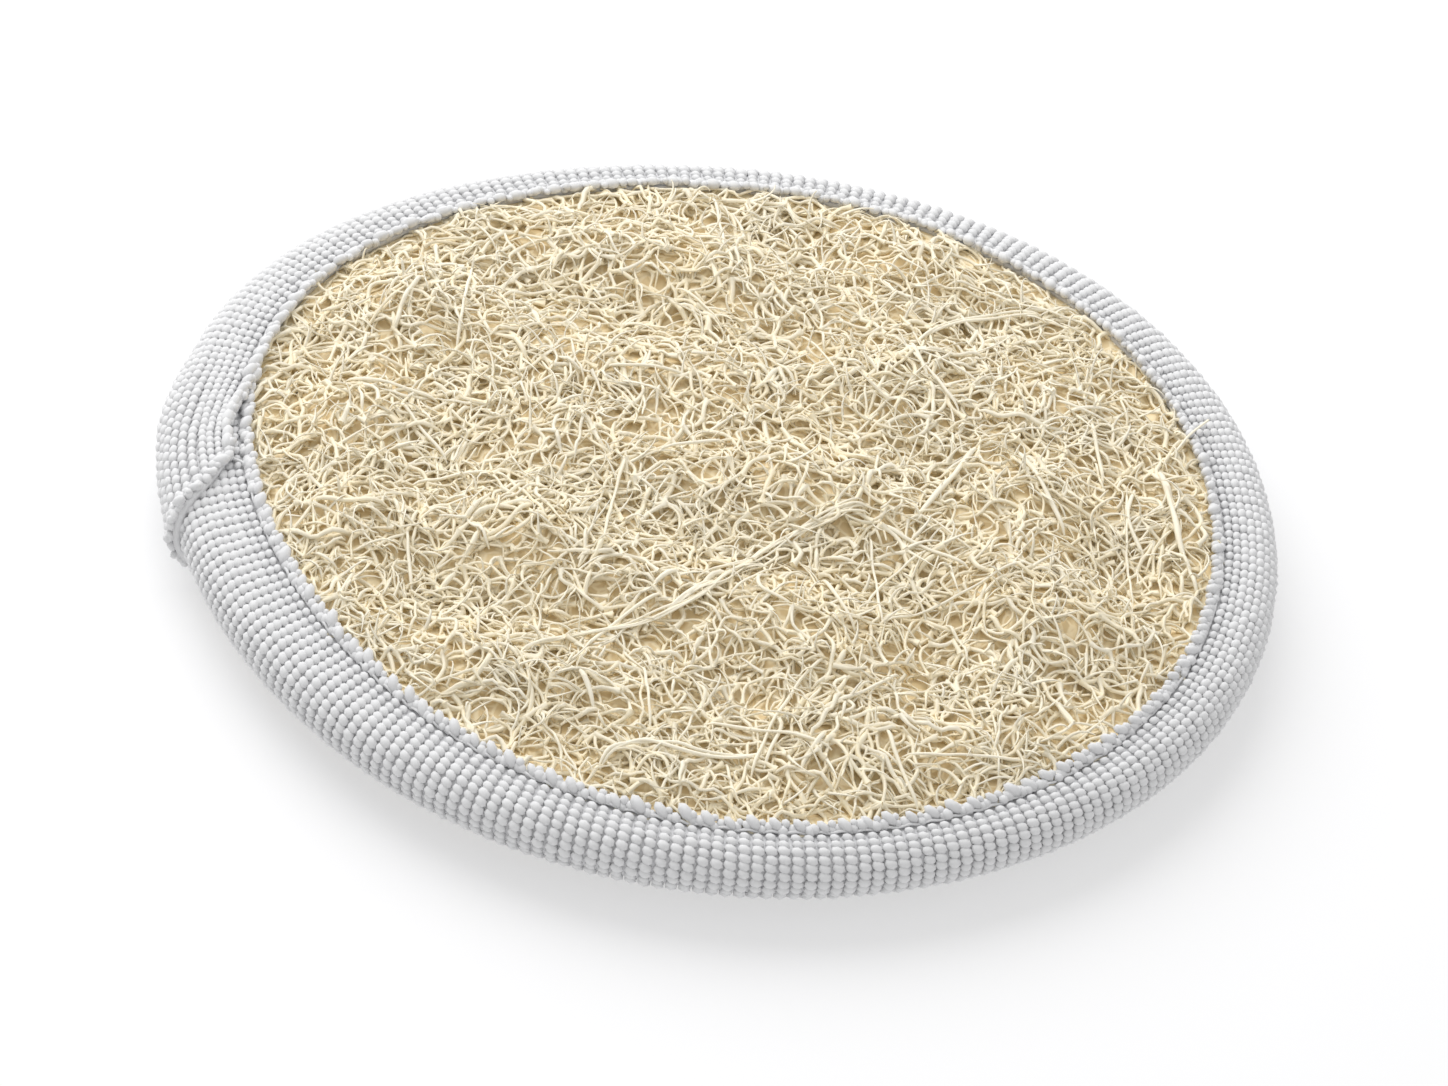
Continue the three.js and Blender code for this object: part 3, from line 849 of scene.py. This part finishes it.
def makeRunners(group, seed):
    # fibres that wander over and under the net, some of them forked
    rng = np.random.default_rng(seed)
    side, spacing = group["side"], group["spacing"]
    way = (spacing, runner["bend"], runner["sway"])
    bundle = Bundle()
    for _ in range(group["count"]):
        start = anyPlace(rng, side)
        flat, turn = walk(rng, start, rng.uniform(0, 2 * np.pi), rng.uniform(*runner["length"]), *way)
        outside = np.flatnonzero(shareAt(flat, side) > runner["reach"])
        if len(outside):
            flat = flat[:outside[0]]
        if len(flat) < runner["fewest"]:
            continue
        run = np.arange(len(flat)) * spacing
        fromEnd = np.minimum(run, run[::-1])
        ride = rng.uniform(*runner["ride"])
        wave = runner["weave"] * wander(rng, run, runner["weaveRate"])
        line = lifted(flat, side, ride + wave + runner["root"] * np.exp(-fromEnd / runner["rootLength"]))
        radius = rng.uniform(*(runner["thick"] if rng.random() < runner["thickShare"] else runner["radius"]))
        tint = rng.random()
        taper = 1 - runner["taper"] * np.exp(-fromEnd / runner["taperLength"])
        girth = radius * taper * (runner["girth"] + runner["swell"] * np.sin(run))
        bundle.add(line, girth, tint, sunkShare(line, side))
        if rng.random() < runner["branchShare"]:
            k = rng.integers(1, len(flat) - 1)
            away = turn[k] + rng.choice([-1, 1]) * rng.uniform(*runner["branchTurn"])
            twig, _ = walk(rng, flat[k], away, rng.uniform(*runner["branchLength"]), *way)
            twig = twig[shareAt(twig, side) < runner["reach"]]
            if len(twig) < runner["branchFewest"]:
                continue
            part = np.linspace(0, 1, len(twig))
            depth = (ride + wave[k]) * (1 - part) + rng.uniform(*runner["branchEnd"]) * part
            line = lifted(twig, side, depth)
            girth = radius * (runner["branchGirth"] - runner["branchTaper"] * part)
            bundle.add(line, girth, tint, sunkShare(line, side))
    bundle.sweep(group["name"], group["sides"], fibreMaterial)


for number, group in enumerate(runners):
    makeRunners(group, loofah["seeds"]["runners"] + number)
print("runners made")


hairs = [
    {"name": "loofah_hairs", "side": 1, "from": ("loofah_net_upper", "loofah_net_middle"), "count": 2200},
    {"name": "loofah_back_hairs", "side": -1, "from": ("loofah_back_upper",), "count": 1000},
]
hair = {
    "length": (1.5, 5.0), "rise": (0.4, 1.9), "riseTurn": (1.2, 2.7), "rootSink": 0.1, "curl": 1.0,
    "radius": (0.13, 0.25), "rootGirth": 1.2, "taper": 0.95, "darkest": 0.6,
    "points": 6, "sides": 3, "rootReach": 0.985, "reach": 1.0,
}


def makeHairs(group, seed):
    # free ends that curl up out of the net
    rng = np.random.default_rng(seed)
    side = group["side"]
    roots = np.concatenate([np.concatenate(routes[name]) for name in group["from"]])
    roots = roots[shareAt(roots[:, :2], side) < hair["rootReach"]]
    part = np.linspace(0, 1, hair["points"])
    bundle = Bundle()
    for root in roots[rng.integers(0, len(roots), group["count"])]:
        turn = rng.uniform(0, 2 * np.pi) + rng.normal(0, hair["curl"]) * part
        ways = np.stack([np.cos(turn), np.sin(turn)], -1)
        steps = ways * rng.uniform(*hair["length"]) / (hair["points"] - 1)
        flat = root[:2] + np.concatenate([[[0, 0]], np.cumsum(steps[:-1], 0)])
        rise = rng.uniform(*hair["rise"]) * np.sin(part * rng.uniform(*hair["riseTurn"]))
        up = root[2] + side * (rise - hair["rootSink"])
        if shareAt(flat, side).max() < hair["reach"]:
            line = np.concatenate([flat, up[:, None]], -1)
            girth = rng.uniform(*hair["radius"]) * (hair["rootGirth"] - hair["taper"] * part)
            bundle.add(line, girth, hair["darkest"] * rng.random())
    bundle.sweep(group["name"], hair["sides"], fibreMaterial)


for number, group in enumerate(hairs):
    makeHairs(group, loofah["seeds"]["hairs"] + number)
print("hairs made")


strand = {
    "count": 30, "length": (8.0, 20.0), "radius": (0.15, 0.24), "bend": 0.025, "sway": 0.06,
    "spacing": 0.8, "walkStep": 1.6, "roundSteps": 6, "sides": 5,
    "startReach": 0.9, "reach": 0.985, "fewest": 4,
    "over": 0.35, "wave": 0.15, "waveRate": (0.4, 0.9), "root": 0.9, "rootLength": 0.7,
    "taper": 0.5, "taperLength": 0.9, "swell": 0.12, "swellRate": 0.7, "darkest": 0.4,
    # strands side by side: how far each strays, the first one's girth and how much thinner the next is
    "stray": 0.35, "firstGirth": 0.85, "thinner": 0.12,
    # seen in the photograph: points in millimetres, radius, number side by side
    "seen": [
        ([(-20, -36.1), (-13.7, -31.1), (-6, -26.8), (-1.3, -23.4), (1.1, -19.8), (4.9, -13.6), (10.5, -8.1),
          (15.8, -4.6)], 0.22, 4),
        ([(-5.5, -26.4), (-1.3, -22), (0.8, -20.3)], 0.3, 2),
        ([(-6.9, -22.5), (-4.1, -19.2)], 0.36, 1),
        ([(-1.2, -19.3), (1.7, -17), (5.7, -12.2)], 0.2, 4),
        ([(7, -11.3), (12.7, -6.9), (15.8, -4.9)], 0.2, 4),
        ([(4.7, -17.8), (5, -21.1), (6.8, -22.4), (9.2, -23.3)], 0.28, 1),
        ([(12, -16.3), (13.7, -20.3), (16.4, -24.4)], 0.28, 1),
        ([(-9.3, -50.1), (-8.1, -47.8), (-5.2, -46), (-1.5, -46.2), (1.6, -46.1), (6.2, -45.3),
          (8.3, -44.2)], 0.28, 2),
        ([(-13.7, -36.8), (-12, -39.8), (-11, -42)], 0.36, 1),
        ([(7.6, -38), (9.7, -40), (8.9, -43.7), (8.5, -46.1)], 0.3, 1),
        ([(28, 10.5), (25.2, 3.4), (21.9, -4.3)], 0.42, 1),
        ([(32.6, 10.7), (35.8, 4.6), (39.2, -1.5)], 0.32, 1),
        ([(41.1, 18.4), (43.2, 8.8)], 0.3, 1),
        ([(37.7, 18.6), (41, 20.2), (44.4, 21.1)], 0.28, 1),
        ([(49.6, 12.2), (50.7, 8.1), (51.6, 4.6), (52.5, 0.1), (53.6, -2.8)], 0.42, 1),
        ([(47, 8.6), (46.4, 3), (48.8, -2.1)], 0.3, 1),
        ([(18.6, 25.7), (21.3, 19.4)], 0.32, 1),
        ([(19.2, 26.2), (24.4, 32.9), (29.2, 35.8), (34.1, 36.8)], 0.26, 2),
    ],
    # one that stands clear of the face
    "loose": [(46.9, 12, 10.6), (49.8, 14.2, 11.5), (51.3, 15.6, 11.9), (52.9, 18.7, 12.3),
              (55.1, 22.1, 12.2)],
    "looseRadius": 0.16, "looseTint": 0.1,
}


def makeStrands(seed):
    # long smooth fibres lying over the net
    rng = np.random.default_rng(seed)
    bundle = Bundle()

    def lay(flat, radius):
        flat = respaced(rounded(flat, strand["roundSteps"]), strand["spacing"])
        flat = flat[shareAt(flat, 1) < strand["reach"]]
        if len(flat) < strand["fewest"]:
            return
        run = np.arange(len(flat)) * strand["spacing"]
        fromEnd = np.minimum(run, run[::-1])
        wave = strand["wave"] * wander(rng, run, strand["waveRate"])
        dive = strand["root"] * np.exp(-fromEnd / strand["rootLength"])
        line = lifted(flat, 1, dive - strand["over"] + wave)
        taper = 1 - strand["taper"] * np.exp(-fromEnd / strand["taperLength"])
        girth = radius * taper * (1 + strand["swell"] * np.sin(run * strand["swellRate"]))
        bundle.add(line, girth, strand["darkest"] * rng.random())

    for points, radius, copies in strand["seen"]:
        for copy in range(copies):
            flat = np.array(points, float)
            stray = rng.normal(0, strand["stray"] * min(copy, 1), flat.shape)
            lay(flat + stray, radius * (strand["firstGirth"] - strand["thinner"] * copy))
    way = (strand["walkStep"], strand["bend"], strand["sway"])
    for _ in range(strand["count"]):
        start = anyPlace(rng, 1) * strand["startReach"]
        flat, _ = walk(rng, start, rng.uniform(0, 2 * np.pi), rng.uniform(*strand["length"]), *way)
        lay(flat, rng.uniform(*strand["radius"]))
    loose = respaced(rounded(np.array(strand["loose"]), strand["roundSteps"]), strand["spacing"])
    bundle.add(loose, strand["looseRadius"], strand["looseTint"])
    bundle.sweep("loofah_strands", strand["sides"], fibreMaterial)


makeStrands(loofah["seeds"]["strands"])
print("loofah made")


studio = {
    "floor": (0.50, 0.50, 0.505, 1), "floorHalf": 3, "floorRoughness": 0.9, "floorSpecular": 0.1,
    "glow": 0.45, "world": 0.59, "white": (1, 1, 1, 1), "aim": (0, 0, 0.01),
    "key": {"place": (-0.23, 0.31, 0.48), "size": 0.75, "power": 3.8},
    "fill": {"place": (0.4, -0.5, 0.8), "size": 1.0, "power": 0.5},
}


def makeStudio():
    half, white = studio["floorHalf"], studio["white"]
    corners = [(-half, -half, 0), (half, -half, 0), (half, half, 0), (-half, half, 0)]
    mesh = meshFrom("floor", corners, (), [(0, 1, 2, 3)])
    material, _, shader = principled("paleFloor")
    shader.inputs["Base Color"].default_value = studio["floor"]
    shader.inputs["Roughness"].default_value = studio["floorRoughness"]
    shader.inputs["Specular IOR Level"].default_value = studio["floorSpecular"]
    shader.inputs["Emission Color"].default_value = white
    shader.inputs["Emission Strength"].default_value = studio["glow"]
    mesh.materials.append(material)
    floor = bpy.data.objects.new("floor", mesh)
    scene.collection.objects.link(floor)
    world = bpy.data.worlds.new("studio")
    world.use_nodes = True
    back = world.node_tree.nodes["Background"]
    back.inputs["Color"].default_value = white
    back.inputs["Strength"].default_value = studio["world"]
    scene.world = world
    for name in ("key", "fill"):
        setup = studio[name]
        lamp = bpy.data.lights.new(name, "AREA")
        lamp.shape = "DISK"
        lamp.size = setup["size"]
        lamp.energy = setup["power"]
        light = bpy.data.objects.new(name, lamp)
        light.location = setup["place"]
        way = Vector(studio["aim"]) - Vector(setup["place"])
        light.rotation_euler = way.to_track_quat("-Z", "Y").to_euler()
        scene.collection.objects.link(light)
    scene.view_settings.view_transform = "Standard"


photo = {
    "width": 1448, "height": 1086, "lens": 135.0, "sensor": 36.0,
    "elevation": math.radians(43.0), "roll": math.radians(8.8),
    "pixelsPerMm": 8.57, "centrePixel": (727, 504), "clipEnd": 20,
}


def makeCamera():
    elevation, roll = photo["elevation"], photo["roll"]
    forward = Vector((0, math.cos(elevation), -math.sin(elevation)))
    level, rise = Vector((1, 0, 0)), Vector((0, math.sin(elevation), math.cos(elevation)))
    right = level * math.cos(roll) + rise * math.sin(roll)
    up = rise * math.cos(roll) - level * math.sin(roll)
    focal = photo["lens"] / photo["sensor"] * photo["width"]
    target = Vector((*pad["centre"], pad["midHeight"])) * mm
    pixel = mm / photo["pixelsPerMm"]
    aside = (photo["width"] / 2 - photo["centrePixel"][0]) * pixel
    below = (photo["height"] / 2 - photo["centrePixel"][1]) * pixel
    aim = target + right * aside - up * below
    lens = bpy.data.cameras.new("camera")
    lens.lens = photo["lens"]
    lens.sensor_width = photo["sensor"]
    lens.clip_end = photo["clipEnd"]
    camera = bpy.data.objects.new("camera", lens)
    turn = Matrix((right, up, -forward)).transposed().to_4x4()
    camera.matrix_world = Matrix.Translation(aim - forward * focal * pixel) @ turn
    scene.collection.objects.link(camera)
    scene.camera = camera


makeStudio()
makeCamera()
print("studio made")
